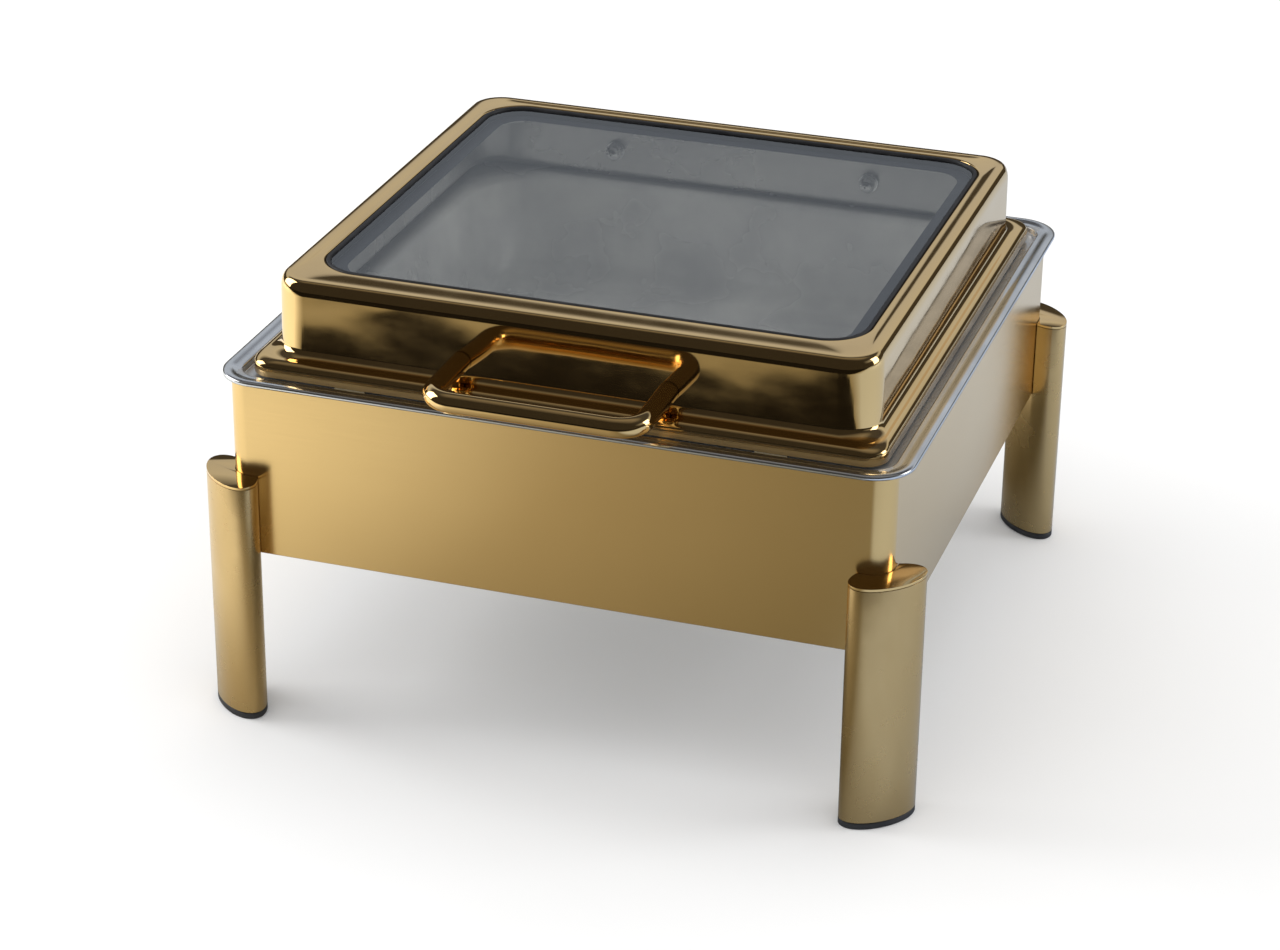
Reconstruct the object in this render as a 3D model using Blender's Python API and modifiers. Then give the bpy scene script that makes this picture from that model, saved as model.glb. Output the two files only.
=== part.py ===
"""Square roll top chafer: a glass lid on a hydraulic hinge, a water pan with a food pan in it,
and a wrap-round skirt on four oval corner legs. Metres, +Z up, front at -Y, floor at z = 0."""

import math

import bmesh
import bpy
from mathutils import Matrix, Vector

# Skirt and the stand's corners
SKIRT_HALF = (0.190, 0.189)
SKIRT_RADIUS = 0.012
SKIRT_BOTTOM = 0.0995
SKIRT_SHEET = 0.0015
GAP = 0.0003

# Oval legs, set at 45 degrees over the skirt's corners
LEG_HALF = (0.0233, 0.0126)
LEG_INSET = 0.0014
LEG_TOP = 0.147
LEG_WALL = 0.0015
LEG_BORE_TOP = 0.090
LEG_CAP = 0.0015
FOOT_HEIGHT = 0.004
FOOT_PLUG = 0.012
LEG_STEPS = 32
SCREW_HEIGHT = 0.123
SCREW_RADIUS = 0.002
SCREW_HEAD = 0.0032
ANGLE_SHEET = 0.002
ANGLE_REACH = 0.016
ANGLE_SPAN = (0.105, 0.141)

# Water pan: rolled rim, gutter for the lid's lip, ledge for the food pan
RIM_HALF = (0.197, 0.1945)
RIM_RADIUS = 0.024
RIM_TOP = 0.2063
RIM_WIDTH = 0.0110
RIM_BEND = 0.0008
RIM_DROP = 0.0024
PAN_SHEET = 0.0012
LEDGE_HALF = (0.1768, 0.1723)
LEDGE_RADIUS = 0.021
LEDGE_TOP = 0.2073
GUTTER_FLOOR = 0.2012
GUTTER_RADIUS = 0.0140
WATER_FLOOR = 0.112
WATER_FLOOR_HALF = (0.150, 0.146)
WATER_WALL_FOOT = (0.1665, 0.1625)
WATER_WALL_TOP = (0.1700, 0.1660)
WATER_CORNER = 0.032
WATER_FLOOR_BEND = 0.0045
BUMPER_X = 0.120
BUMPER_HALF_LENGTH = 0.009
BUMPER_HALF_WIDTH = 0.0006

# Food pan
FOOD_SHEET = 0.001
FOOD_FLOOR = 0.147
FOOD_FLANGE_HALF = (0.1765, 0.1720)
FOOD_FLANGE_RADIUS = 0.0205
FOOD_BOWL = (
    ((0.1360, 0.1315), 0.034, FOOD_FLOOR),
    ((0.1445, 0.1400), 0.040, FOOD_FLOOR + 0.0012),
    ((0.1505, 0.1460), 0.043, FOOD_FLOOR + 0.0055),
    ((0.1535, 0.1490), 0.045, FOOD_FLOOR + 0.014),
    ((0.1615, 0.1570), 0.050, LEDGE_TOP - 0.0017),
)

# Lid shell, window and glass
LID_HALF = (0.1715, 0.164)
LID_CENTRE_Y = -0.0015
LID_RADIUS = 0.020
LID_SHEET = 0.0013
LID_HEM_BOTTOM = 0.2520
LID_HEM_TOP = 0.2555
LID_CREST = 0.2569
LID_EDGE_RADIUS = 0.0080
FLANGE_HALF = (0.181, 0.1785)
FLANGE_RADIUS = 0.013
FLANGE_TOP = 0.213
LIP_BOTTOM = 0.2036
WINDOW_HALF = (0.1565, 0.1455)
WINDOW_CENTRE_Y = 0.004
WINDOW_RADIUS = 0.025
GASKET_WIDTH = 0.0026
GASKET_SPAN = (0.2502, 0.2560)
GLASS_SPAN = (0.2506, 0.2546)
RETAINER_SPAN = (0.2484, 0.2499)
RETAINER_REACH = (0.007, -0.0085)
RETAINER_SCREW_OUTSET = 0.0042
RETAINER_SCREW_RADIUS = 0.0012

# Handle
HANDLE_RADIUS = 0.006
HANDLE_HALF_WIDTH = 0.0588
HANDLE_FRONT_Y = -0.218
HANDLE_Z = 0.2245
HANDLE_END_GAP = 0.0010
HANDLE_BEND = 0.014
HANDLE_SCREW_RADIUS = 0.0020
HANDLE_BORE = 0.0024

# Hinge behind the rim
BARREL_RADIUS = 0.012
BARREL_HALF = 0.058
BARREL_CAP_RADIUS = 0.013
HINGE_Y = -HANDLE_FRONT_Y + HANDLE_RADIUS - BARREL_CAP_RADIUS
HINGE_Z = 0.191
SPINDLE_RADIUS = 0.005
SPINDLE_BORE = 0.0053
SPINDLE_HALF = 0.0745
BARREL_BORE = 0.0095
BARREL_CAP_LENGTH = 0.0052
ROTOR_RADIUS = 0.0092
ROTOR_HALF = 0.050
ARM_X = 0.068
ARM_SHEET = 0.007
ARM_BOSS_RADIUS = 0.011
PAD_SHEET = 0.003
PAD_BOTTOM = FLANGE_TOP + 0.0070
PAD_TOP = HINGE_Z + 0.0485
BOLT_X = 0.082
BOLT_Z = 0.2295
BOLT_RADIUS = 0.003
BASE_SHEET = 0.002
BASE_HALF = 0.0522
BASE_OVERLAP = 0.0100
BASE_SCREW_X = 0.040
BASE_SCREW_INSET = 0.0050
BASE_SCREW_RADIUS = 0.0015
BASE_SCREW_END = -BASE_SHEET - GAP - PAN_SHEET + 0.0001

CORNERS = {
    "front_left": (-1, -1),
    "front_right": (1, -1),
    "rear_left": (-1, 1),
    "rear_right": (1, 1),
}
SIDES = {"left": -1, "right": 1}
YZ_PLANE = Matrix(((0, 0, 1, 0), (1, 0, 0, 0), (0, 1, 0, 0), (0, 0, 0, 1)))

for stale in list(bpy.data.objects):
    bpy.data.objects.remove(stale)

chafer = bpy.data.collections.new("roll_top_chafer")
cutters = bpy.data.collections.new("cutters")
bpy.context.scene.collection.children.link(chafer)
bpy.context.scene.collection.children.link(cutters)


def material(name, colour, metallic, roughness, alpha=1.0):
    made = bpy.data.materials.new(name)
    made.use_nodes = True
    shader = made.node_tree.nodes["Principled BSDF"]
    shader.inputs["Base Color"].default_value = (*colour, 1)
    shader.inputs["Metallic"].default_value = metallic
    shader.inputs["Roughness"].default_value = roughness
    shader.inputs["Alpha"].default_value = alpha
    return made


POLISHED_GOLD = material("polished_gold", (0.80, 0.55, 0.22), 1, 0.06)
SATIN_GOLD = material("satin_gold", (0.78, 0.56, 0.27), 1, 0.28)
SATIN_STEEL = material("satin_steel", (0.62, 0.62, 0.61), 1, 0.3)
CHROME = material("chrome", (0.80, 0.80, 0.80), 1, 0.08)
BLACK_RUBBER = material("black_rubber", (0.015, 0.015, 0.016), 0, 0.6)
SMOKED_GLASS = material("smoked_glass", (0.10, 0.10, 0.10), 0, 0.02, 0.4)


def finish(name, mesh_builder, finish_material, parent=None):
    """Turns a bmesh into a named node of the chafer, shaded smooth with sharp edges kept."""
    bmesh.ops.remove_doubles(mesh_builder, verts=mesh_builder.verts, dist=1e-6)
    mesh = bpy.data.meshes.new(name)
    mesh_builder.to_mesh(mesh)
    mesh_builder.free()
    mesh.shade_smooth()
    mesh.set_sharp_from_angle(angle=math.radians(35))
    node = bpy.data.objects.new(name, mesh)
    node.data.materials.append(finish_material)
    chafer.objects.link(node)
    if parent:
        node.parent = parent
        node.matrix_parent_inverse = Matrix.Translation(-parent.location)
    return node


def pivot(name, location, parent=None):
    """An empty on a joint's axis, which the moving pieces are parented to."""
    empty = bpy.data.objects.new(name, None)
    empty.location = location
    empty.empty_display_size = 0.02
    chafer.objects.link(empty)
    if parent:
        empty.parent = parent
        empty.matrix_parent_inverse = Matrix.Translation(-parent.location)
    return empty


def ring(half, radius, z, centre_y=0.0, steps=5):
    """Corner points of a rounded rectangle, anticlockwise from above."""
    points = []
    for quarter, (sx, sy) in enumerate(((1, 1), (-1, 1), (-1, -1), (1, -1))):
        centre = Vector((sx * (half[0] - radius), centre_y + sy * (half[1] - radius), z))
        for step in range(steps + 1):
            angle = math.pi / 2 * (quarter + step / steps)
            offset = Vector((math.cos(angle), math.sin(angle), 0))
            points.append(centre + radius * offset)
    return points


def grown(half, amount):
    return (half[0] + amount, half[1] + amount)


def bridge(builder, rings, closed=False):
    """Joins each ring of points to the next one with quads."""
    levels = [[builder.verts.new(point) for point in points] for points in rings]
    pairs = list(zip(levels, levels[1:]))
    if closed:
        pairs.append((levels[-1], levels[0]))
    for upper, lower in pairs:
        for k in range(len(upper)):
            follow = (k + 1) % len(upper)
            builder.faces.new((upper[k], lower[k], lower[follow], upper[follow]))
    return levels


def shell(name, rings, sheet, finish_material, parent=None, floor=False):
    """A pressed sheet: the visible skin, thickened behind it. Rings run from the inside out."""
    builder = bmesh.new()
    levels = bridge(builder, rings)
    if floor:
        builder.faces.new(levels[0])
    node = finish(name, builder, finish_material, parent)
    thicken = node.modifiers.new("sheet", "SOLIDIFY")
    thicken.thickness = sheet
    thicken.offset = -1
    thicken.use_even_offset = True
    return node


def solid_stack(name, rings, finish_material, parent=None):
    """A closed solid through a stack of rings from top to bottom."""
    builder = bmesh.new()
    levels = bridge(builder, rings)
    builder.faces.new(levels[0])
    builder.faces.new(reversed(levels[-1]))
    return finish(name, builder, finish_material, parent)


def frame_ring(name, outer, inner, centre_y, span, finish_material, parent=None):
    """A flat picture-frame ring between two rounded rectangles, each (half, radius)."""
    low, high = span
    rings = [
        ring(*inner, high, centre_y),
        ring(*outer, high, centre_y),
        ring(*outer, low, centre_y),
        ring(*inner, low, centre_y),
    ]
    builder = bmesh.new()
    bridge(builder, rings, closed=True)
    return finish(name, builder, finish_material, parent)


def along(start, direction):
    """A matrix whose +Z runs from start along direction."""
    return Matrix.Translation(start) @ Vector(direction).to_track_quat("Z", "Y").to_matrix().to_4x4()


def add_turned(builder, profile, place, steps=20):
    """Adds a body of revolution about the local Z axis. A profile of (radius, height) points."""
    circle = [2 * math.pi * k / steps for k in range(steps)]
    rings = [
        [place @ Vector((radius * math.cos(a), radius * math.sin(a), height)) for a in circle]
        for radius, height in profile
    ]
    bored = profile[0] == profile[-1]
    levels = bridge(builder, rings[:-1] if bored else rings, closed=bored)
    if not bored:
        builder.faces.new(levels[0])
        builder.faces.new(reversed(levels[-1]))


def turned(name, profile, place, finish_material, parent=None, steps=20):
    builder = bmesh.new()
    add_turned(builder, profile, place, steps)
    return finish(name, builder, finish_material, parent)


def turned_set(name, profile, places, finish_material, parent=None, steps=20):
    """The same turned piece once for each named place."""
    for label, place in places.items():
        turned(f"{name}_{label}", profile, place, finish_material, parent, steps)


def tube_profile(outer, bore, low, high):
    return [(bore, high), (outer, high), (outer, low), (bore, low), (bore, high)]


def add_box(builder, low, high):
    centre = (Vector(low) + Vector(high)) / 2
    size = Vector(high) - Vector(low)
    scale = Matrix.Diagonal((*size, 1))
    bmesh.ops.create_cube(builder, size=1, matrix=Matrix.Translation(centre) @ scale)


def add_prism(builder, outline, axis_low, axis_high, place):
    """Extrudes an anticlockwise outline of 2D points between two heights, then places it."""
    rings = []
    for height in (axis_high, axis_low):
        rings.append([place @ Vector((u, v, height)) for u, v in outline])
    levels = bridge(builder, rings)
    builder.faces.new(levels[0])
    builder.faces.new(reversed(levels[-1]))


def cutter(name, builder):
    mesh = bpy.data.meshes.new(name)
    builder.to_mesh(mesh)
    builder.free()
    tool = bpy.data.objects.new(name, mesh)
    tool.hide_render = True
    tool.display_type = "WIRE"
    cutters.objects.link(tool)
    return tool


def hole_cutter(name, radius, places, low, high, steps=16):
    builder = bmesh.new()
    for place in places:
        add_turned(builder, [(radius, high), (radius, low)], place, steps)
    return cutter(name, builder)


def combine(node, tool, operation="DIFFERENCE"):
    modifier = node.modifiers.new(tool.name, "BOOLEAN")
    modifier.operation = operation
    modifier.object = tool
    modifier.solver = "EXACT"


def oval(half, centre, turn, z):
    """An oval section, anticlockwise, with its long axis turned from X."""
    spin = Matrix.Rotation(turn, 3, "Z")
    points = []
    for step in range(LEG_STEPS):
        angle = 2 * math.pi * step / LEG_STEPS
        local = Vector((half[0] * math.cos(angle), half[1] * math.sin(angle), 0))
        points.append(spin @ local + Vector((centre[0], centre[1], z)))
    return points


def diagonal(corner):
    """The matrix at a skirt corner's bend centre, with +X pointing out along the diagonal."""
    sx, sy = corner
    centre = (sx * (SKIRT_HALF[0] - SKIRT_RADIUS), sy * (SKIRT_HALF[1] - SKIRT_RADIUS), 0)
    return Matrix.Translation(centre) @ Matrix.Rotation(math.atan2(sy, sx), 4, "Z")


def make_stand():
    skirt_top = RIM_TOP - PAN_SHEET - GAP
    rings = [ring(SKIRT_HALF, SKIRT_RADIUS, z) for z in (skirt_top, SKIRT_BOTTOM)]
    skirt = shell("skirt_band", rings, SKIRT_SHEET, SATIN_GOLD)

    notch_builder = bmesh.new()
    notch_half = grown(SKIRT_HALF, GAP)
    tops = [ring(notch_half, SKIRT_RADIUS + GAP, z) for z in (LEG_TOP + 0.01, SKIRT_BOTTOM - GAP)]
    levels = bridge(notch_builder, tops)
    notch_builder.faces.new(levels[0])
    notch_builder.faces.new(reversed(levels[-1]))
    notch = cutter("skirt_notch", notch_builder)

    screw_places = {}
    for label, corner in CORNERS.items():
        out = diagonal(corner)
        direction = out.to_3x3() @ Vector((1, 0, 0))
        screw_places[label] = along(out.translation + Vector((0, 0, SCREW_HEIGHT)), direction)
    holes = hole_cutter("screw_holes", SCREW_RADIUS + GAP, screw_places.values(), 0.006, 0.020)
    combine(skirt, holes)

    for label, corner in CORNERS.items():
        make_leg(label, corner, notch, holes)
        make_leg_bracket(label, corner, holes)

    head = math.sqrt((SKIRT_RADIUS - SKIRT_SHEET - GAP - ANGLE_SHEET) ** 2 - SCREW_HEAD**2) - 2 * GAP
    screw = [(SCREW_RADIUS, 0.019), (SCREW_RADIUS, head), (SCREW_HEAD, head)]
    screw += [(SCREW_HEAD, head - 0.0010), (SCREW_HEAD - 0.0008, head - 0.0022)]
    turned_set("leg_screw", screw, screw_places, SATIN_STEEL, steps=12)


def make_leg(label, corner, notch, holes):
    sx, sy = corner
    centre = (sx * (SKIRT_HALF[0] - LEG_INSET), sy * (SKIRT_HALF[1] - LEG_INSET))
    turn = math.atan2(sy, sx) + math.pi / 2
    bore = grown(LEG_HALF, -LEG_WALL)
    cap_bottom = LEG_TOP - LEG_CAP

    leg = solid_stack(
        f"leg_{label}",
        [oval(LEG_HALF, centre, turn, z) for z in (cap_bottom - GAP, FOOT_HEIGHT + GAP)],
        SATIN_GOLD,
    )
    bore_builder = bmesh.new()
    levels = bridge(bore_builder, [oval(bore, centre, turn, z) for z in (LEG_BORE_TOP, 0)])
    bore_builder.faces.new(levels[0])
    bore_builder.faces.new(reversed(levels[-1]))
    combine(leg, cutter(f"bore_{label}", bore_builder))
    combine(leg, notch)
    combine(leg, holes)

    rings = [oval(LEG_HALF, centre, turn, z) for z in (LEG_TOP, cap_bottom)]
    cap = solid_stack(f"leg_cap_{label}", rings, POLISHED_GOLD)
    combine(cap, notch)

    plug = grown(bore, -2 * GAP)
    foot = [
        oval(plug, centre, turn, FOOT_HEIGHT + FOOT_PLUG),
        oval(plug, centre, turn, FOOT_HEIGHT),
        oval(LEG_HALF, centre, turn, FOOT_HEIGHT),
        oval(LEG_HALF, centre, turn, 0.001),
        oval(grown(LEG_HALF, -0.001), centre, turn, 0),
    ]
    solid_stack(f"foot_{label}", foot, BLACK_RUBBER)


def make_leg_bracket(label, corner, holes):
    """A bent plate inside a skirt corner, which the leg's screw pulls against."""
    outer = SKIRT_RADIUS - SKIRT_SHEET - GAP
    inner = outer - ANGLE_SHEET
    turns = [math.pi / 2 * k / 6 for k in range(7)]
    outline = [(outer, -ANGLE_REACH)]
    outline += [(outer * math.cos(a), outer * math.sin(a)) for a in turns]
    outline += [(-ANGLE_REACH, outer), (-ANGLE_REACH, inner)]
    outline += [(inner * math.cos(a), inner * math.sin(a)) for a in reversed(turns)]
    outline += [(inner, -ANGLE_REACH)]
    place = diagonal(corner) @ Matrix.Rotation(-math.pi / 4, 4, "Z")
    builder = bmesh.new()
    add_prism(builder, outline, ANGLE_SPAN[0], ANGLE_SPAN[1], place)
    combine(finish(f"leg_bracket_{label}", builder, SATIN_STEEL), holes)


def make_water_pan(unit):
    gutter_wall = grown(RIM_HALF, -RIM_WIDTH)
    ledge_wall = grown(LEDGE_HALF, PAN_SHEET)
    rings = [
        ring(WATER_FLOOR_HALF, WATER_CORNER - 0.012, WATER_FLOOR),
        ring(grown(WATER_WALL_FOOT, -WATER_FLOOR_BEND), WATER_CORNER - 0.002, WATER_FLOOR),
        ring(WATER_WALL_FOOT, WATER_CORNER, WATER_FLOOR + WATER_FLOOR_BEND),
        ring(WATER_WALL_TOP, WATER_CORNER + 0.002, LEDGE_TOP - 0.0020),
        ring(grown(WATER_WALL_TOP, 0.0015), WATER_CORNER + 0.003, LEDGE_TOP),
        ring(LEDGE_HALF, LEDGE_RADIUS, LEDGE_TOP),
        ring(ledge_wall, LEDGE_RADIUS + PAN_SHEET, LEDGE_TOP - PAN_SHEET),
        ring(ledge_wall, LEDGE_RADIUS + PAN_SHEET, GUTTER_FLOOR),
        ring(gutter_wall, GUTTER_RADIUS, GUTTER_FLOOR),
        ring(gutter_wall, GUTTER_RADIUS, RIM_TOP - RIM_BEND),
        ring(grown(gutter_wall, RIM_BEND), GUTTER_RADIUS + RIM_BEND, RIM_TOP),
        ring(grown(RIM_HALF, -RIM_BEND), RIM_RADIUS - RIM_BEND, RIM_TOP),
        ring(RIM_HALF, RIM_RADIUS, RIM_TOP - RIM_BEND),
        ring(RIM_HALF, RIM_RADIUS, RIM_TOP - RIM_DROP),
    ]
    pan = shell("water_pan", rings, PAN_SHEET, SATIN_STEEL, unit, floor=True)

    bumper_half_height = (LIP_BOTTOM - GUTTER_FLOOR) / 2 - GAP
    bumper_half = Vector((BUMPER_HALF_LENGTH, BUMPER_HALF_WIDTH, bumper_half_height))
    for label, (sx, sy) in CORNERS.items():
        y = sy * (FLANGE_HALF[1] - LID_SHEET / 2)
        centre = Vector((sx * BUMPER_X, y, (LIP_BOTTOM + GUTTER_FLOOR) / 2))
        bumper = bmesh.new()
        add_box(bumper, centre - bumper_half, centre + bumper_half)
        finish(f"lid_bumper_{label}", bumper, BLACK_RUBBER, unit)
    return pan


def make_food_pan(carrier):
    flange_top = LEDGE_TOP + GAP + FOOD_SHEET
    rings = [ring(half, radius, z) for half, radius, z in FOOD_BOWL]
    lip_half, lip_radius, _ = FOOD_BOWL[-1]
    rings.append(ring(grown(lip_half, 0.0025), lip_radius + 0.002, flange_top))
    rings.append(ring(FOOD_FLANGE_HALF, FOOD_FLANGE_RADIUS, flange_top))
    return shell("food_pan", rings, FOOD_SHEET, SATIN_STEEL, carrier, floor=True)


def lid_rings():
    """The lid's skin from the window's hem, over the frame and down the wall to the lip."""
    hem = grown(WINDOW_HALF, GAP)
    hem_radius = WINDOW_RADIUS + GAP
    rings = [
        ring(hem, hem_radius, LID_HEM_BOTTOM, WINDOW_CENTRE_Y),
        ring(hem, hem_radius, LID_HEM_TOP - 0.0008, WINDOW_CENTRE_Y),
        ring(grown(hem, 0.0008), hem_radius + 0.0008, LID_HEM_TOP, WINDOW_CENTRE_Y),
        ring(grown(hem, 0.0030), hem_radius + 0.0030, LID_HEM_TOP, WINDOW_CENTRE_Y),
    ]
    for step in range(6):
        angle = math.pi / 2 * step / 5
        inset = LID_EDGE_RADIUS * (1 - math.sin(angle))
        z = LID_CREST - LID_EDGE_RADIUS * (1 - math.cos(angle))
        rings.append(ring(grown(LID_HALF, -inset), LID_RADIUS - inset, z, LID_CENTRE_Y))
    for out, rise in ((0.0003, 0.0062), (0.0012, 0.0028), (0.0036, 0.0004)):
        half = grown(LID_HALF, out)
        rings.append(ring(half, LID_RADIUS + out, FLANGE_TOP + rise, LID_CENTRE_Y))
    for inset, z in ((0.0025, FLANGE_TOP), (0.0007, FLANGE_TOP - 0.0009), (0, FLANGE_TOP - 0.0028)):
        rings.append(ring(grown(FLANGE_HALF, -inset), FLANGE_RADIUS - inset, z))
    rings.append(ring(FLANGE_HALF, FLANGE_RADIUS, LIP_BOTTOM))
    return rings


def make_lid(lid):
    wall_front = LID_CENTRE_Y - LID_HALF[1]
    wall_rear = LID_CENTRE_Y + LID_HALF[1]
    skin = shell("lid_shell", lid_rings(), LID_SHEET, POLISHED_GOLD, lid)

    handle_places = {
        side: along((sx * HANDLE_HALF_WIDTH, wall_front, HANDLE_Z), (0, -1, 0))
        for side, sx in SIDES.items()
    }
    bolt_places = {
        side: along((sx * BOLT_X, wall_rear, BOLT_Z), (0, 1, 0)) for side, sx in SIDES.items()
    }
    combine(skin, hole_cutter("handle_holes", HANDLE_BORE, handle_places.values(), -0.006, 0.010))
    bolt_holes = hole_cutter("bolt_holes", BOLT_RADIUS + GAP, bolt_places.values(), -0.008, 0.012)
    combine(skin, bolt_holes)

    make_window(lid)
    make_handle(lid, handle_places)
    make_hinge_lid_side(lid, bolt_places, bolt_holes)


def make_window(lid):
    glass_half = grown(WINDOW_HALF, -GASKET_WIDTH - GAP)
    glass_radius = WINDOW_RADIUS - GASKET_WIDTH
    rings = [ring(glass_half, glass_radius, z, WINDOW_CENTRE_Y) for z in reversed(GLASS_SPAN)]
    solid_stack("glass_panel", rings, SMOKED_GLASS, lid)
    frame_ring(
        "glass_gasket",
        (WINDOW_HALF, WINDOW_RADIUS),
        (grown(WINDOW_HALF, -GASKET_WIDTH), WINDOW_RADIUS - GASKET_WIDTH),
        WINDOW_CENTRE_Y,
        GASKET_SPAN,
        BLACK_RUBBER,
        lid,
    )
    reach_out, reach_in = RETAINER_REACH
    retainer = frame_ring(
        "glass_retainer",
        (grown(WINDOW_HALF, reach_out), WINDOW_RADIUS + reach_out),
        (grown(WINDOW_HALF, reach_in), WINDOW_RADIUS + reach_in),
        WINDOW_CENTRE_Y,
        RETAINER_SPAN,
        SATIN_STEEL,
        lid,
    )
    screw_half = grown(WINDOW_HALF, RETAINER_SCREW_OUTSET)
    sides = {"left": (-1, 0), "right": (1, 0), "front": (0, -1), "rear": (0, 1)}
    places = {}
    for label, (sx, sy) in sides.items():
        spot = (sx * screw_half[0], WINDOW_CENTRE_Y + sy * screw_half[1], RETAINER_SPAN[0] - GAP)
        places[label] = along(spot, (0, 0, 1))
    hole = RETAINER_SCREW_RADIUS + GAP
    combine(retainer, hole_cutter("retainer_holes", hole, places.values(), -0.001, 0.003, 10))
    screw = [(RETAINER_SCREW_RADIUS, 0.0055), (RETAINER_SCREW_RADIUS, 0)]
    screw += [(0.0023, 0), (0.0023, -0.0008), (0.0014, -0.0016)]
    turned_set("retainer_screw", screw, places, SATIN_STEEL, lid, steps=10)


def make_handle(lid, places):
    wall_front = LID_CENTRE_Y - LID_HALF[1]
    path = [(-HANDLE_HALF_WIDTH, wall_front - HANDLE_END_GAP)]
    for sx in (-1, 1):
        for step in range(6):
            turn = math.pi / 2 * (step if sx < 0 else 5 - step) / 5
            x = sx * (HANDLE_HALF_WIDTH - HANDLE_BEND * (1 - math.cos(turn)))
            path.append((x, HANDLE_FRONT_Y + HANDLE_BEND * (1 - math.sin(turn))))
    path.append((HANDLE_HALF_WIDTH, wall_front - HANDLE_END_GAP))

    curve = bpy.data.curves.new("handle_path", "CURVE")
    curve.dimensions = "3D"
    curve.bevel_depth = HANDLE_RADIUS
    curve.bevel_resolution = 3
    curve.use_fill_caps = True
    spline = curve.splines.new("POLY")
    spline.points.add(len(path) - 1)
    for point, (x, y) in zip(spline.points, path):
        point.co = (x, y, HANDLE_Z, 1)
    rail = bpy.data.objects.new("handle_path", curve)
    chafer.objects.link(rail)
    bpy.context.view_layer.update()
    graph = bpy.context.evaluated_depsgraph_get()
    mesh = bpy.data.meshes.new_from_object(rail.evaluated_get(graph))
    bpy.data.objects.remove(rail)
    builder = bmesh.new()
    builder.from_mesh(mesh)
    handle = finish("handle_bar", builder, POLISHED_GOLD, lid)
    combine(handle, hole_cutter("handle_bores", HANDLE_BORE, places.values(), -0.001, 0.014))

    washer_back = -0.0030
    washer = tube_profile(0.0065, HANDLE_BORE, washer_back, -LID_SHEET - 2 * GAP)
    turned_set("handle_washer", washer, places, SATIN_STEEL, lid)
    head = washer_back - GAP
    screw = [(HANDLE_SCREW_RADIUS, 0.012), (HANDLE_SCREW_RADIUS, head)]
    screw += [(0.0046, head), (0.0046, head - 0.0012), (0.0026, head - 0.0029)]
    turned_set("handle_screw", screw, places, CHROME, lid)


def arm_outline():
    """Side view of a hinge arm as (y, z) points: boss on the spindle, hook over the rim, pad end."""
    pad_y = LID_CENTRE_Y + LID_HALF[1] + 2 * GAP
    rim_clear = RIM_HALF[1] + 0.0035
    outline = []
    for degrees in (200, 230, 260, 290, 320, 350, 20):
        angle = math.radians(degrees)
        y = HINGE_Y + ARM_BOSS_RADIUS * math.cos(angle)
        outline.append((y, HINGE_Z + ARM_BOSS_RADIUS * math.sin(angle)))
    outline += [
        (HINGE_Y - 0.001, HINGE_Z + 0.030),
        (HINGE_Y - 0.008, HINGE_Z + 0.042),
        (HINGE_Y - 0.020, HINGE_Z + 0.048),
        (pad_y, HINGE_Z + 0.049),
        (pad_y, PAD_BOTTOM),
        (pad_y + 0.0045, FLANGE_TOP + 0.0026),
        (FLANGE_HALF[1] + 0.004, FLANGE_TOP + 0.0020),
        (rim_clear - 0.004, FLANGE_TOP - 0.0005),
        (rim_clear + 0.001, FLANGE_TOP - 0.0060),
    ]
    return outline


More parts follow.
